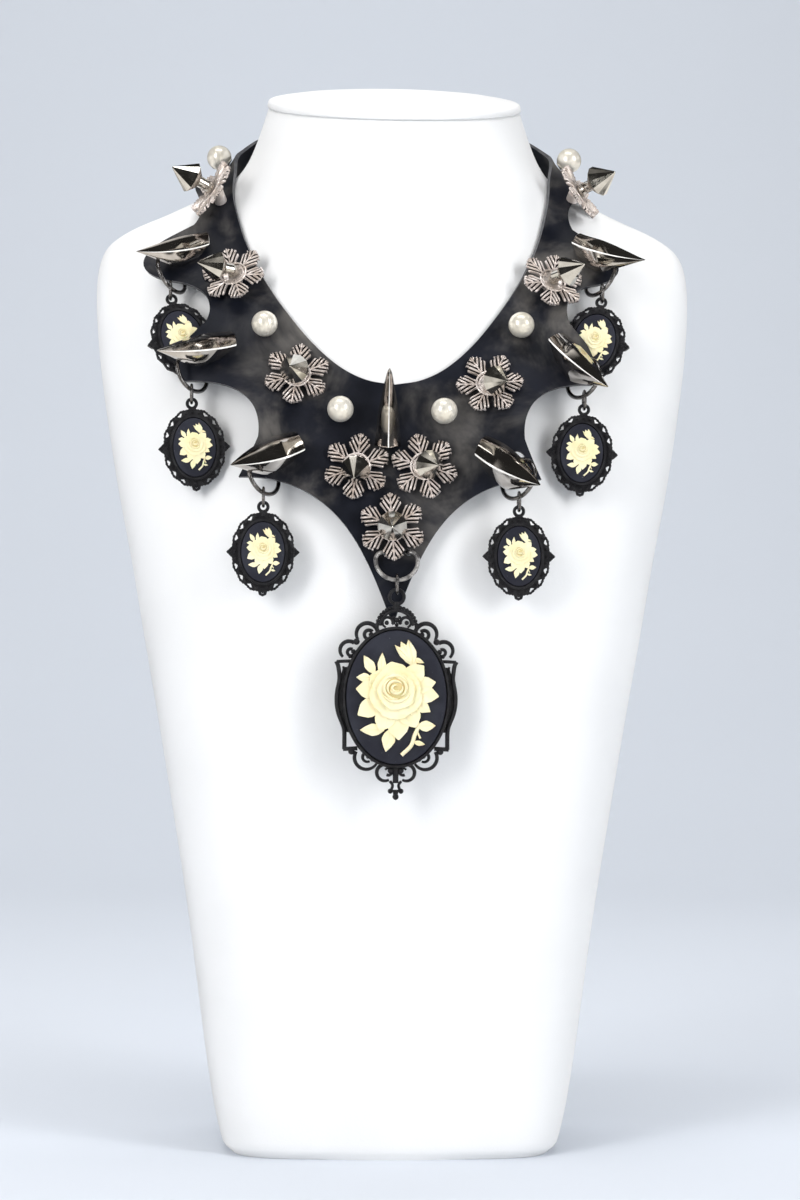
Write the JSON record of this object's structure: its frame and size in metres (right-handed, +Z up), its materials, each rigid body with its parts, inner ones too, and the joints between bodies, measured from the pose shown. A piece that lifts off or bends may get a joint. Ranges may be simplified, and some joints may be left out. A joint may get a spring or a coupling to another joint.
{
  "type": "cameo pendant necklace on a neck bust",
  "caption": "Rubber bib collar with claws, flower cone studs and pearls, hung with framed rose cameos on rings, shown on a plain display neck bust.",
  "frame": {"origin": "middle of the bust's flat base", "axes": "+Z up, front of the bust towards -Y, wearer's left towards +X"},
  "size_m": [0.192, 0.1242, 0.3479],
  "materials": {
    "bust": "satin white",
    "collar": "matte blue-black",
    "gunmetal": "polished gunmetal",
    "flower": "antiqued silver",
    "stud": "polished gunmetal",
    "pearl": "pearly",
    "frame": "matte black",
    "cameo_ground": "matte navy black",
    "rose": "matte cream"
  },
  "bodies": {
    "bust_and_collar": {"neck_bust": "bust", "collar": "collar", "clasp": "gunmetal", "main_ring": "gunmetal", "claw_1": "gunmetal", "claw_2": "gunmetal", "claw_3": "gunmetal", "claw_4": "gunmetal", "claw_5": "gunmetal", "claw_6": "gunmetal", "claw_7": "gunmetal", "flower_1": "flower", "flower_2": "flower", "flower_3": "flower", "flower_4": "flower", "flower_5": "flower", "flower_6": "flower", "flower_7": "flower", "flower_8": "flower", "flower_9": "flower", "spike_1": "stud", "spike_2": "stud", "spike_3": "stud", "spike_4": "stud", "spike_5": "stud", "spike_6": "stud", "spike_7": "stud", "spike_8": "stud", "spike_9": "stud", "pearl_1": "pearl", "pearl_2": "pearl", "pearl_3": "pearl", "pearl_4": "pearl", "pearl_5": "pearl", "pearl_6": "pearl", "links_1": "gunmetal", "links_2": "gunmetal", "links_3": "gunmetal", "links_4": "gunmetal", "links_5": "gunmetal", "links_6": "gunmetal", "frame_1": "frame", "frame_2": "frame", "frame_3": "frame", "frame_4": "frame", "frame_5": "frame", "frame_6": "frame", "cameo_1": "rose", "cameo_2": "rose", "cameo_3": "rose", "cameo_4": "rose", "cameo_5": "rose", "cameo_6": "rose"},
    "pendant_link": {"main_link": "gunmetal"},
    "pendant": {"main_frame": "frame", "main_cameo": "cameo_ground", "main_rose": "rose"}
  },
  "joints": [
    {"name": "pendant_swing", "type": "hinge", "parent": "bust_and_collar", "child": "pendant_link", "pos_m": [-0.00085, -0.06192, 0.17651], "axis": [-1, 0, 0], "range_deg": [-5, 75]},
    {"name": "pendant_tilt", "type": "hinge", "parent": "pendant_link", "child": "pendant", "pos_m": [-0.00085, -0.06192, 0.17236], "axis": [0, 1, 0], "range_deg": [-20, 20]}
  ]
}
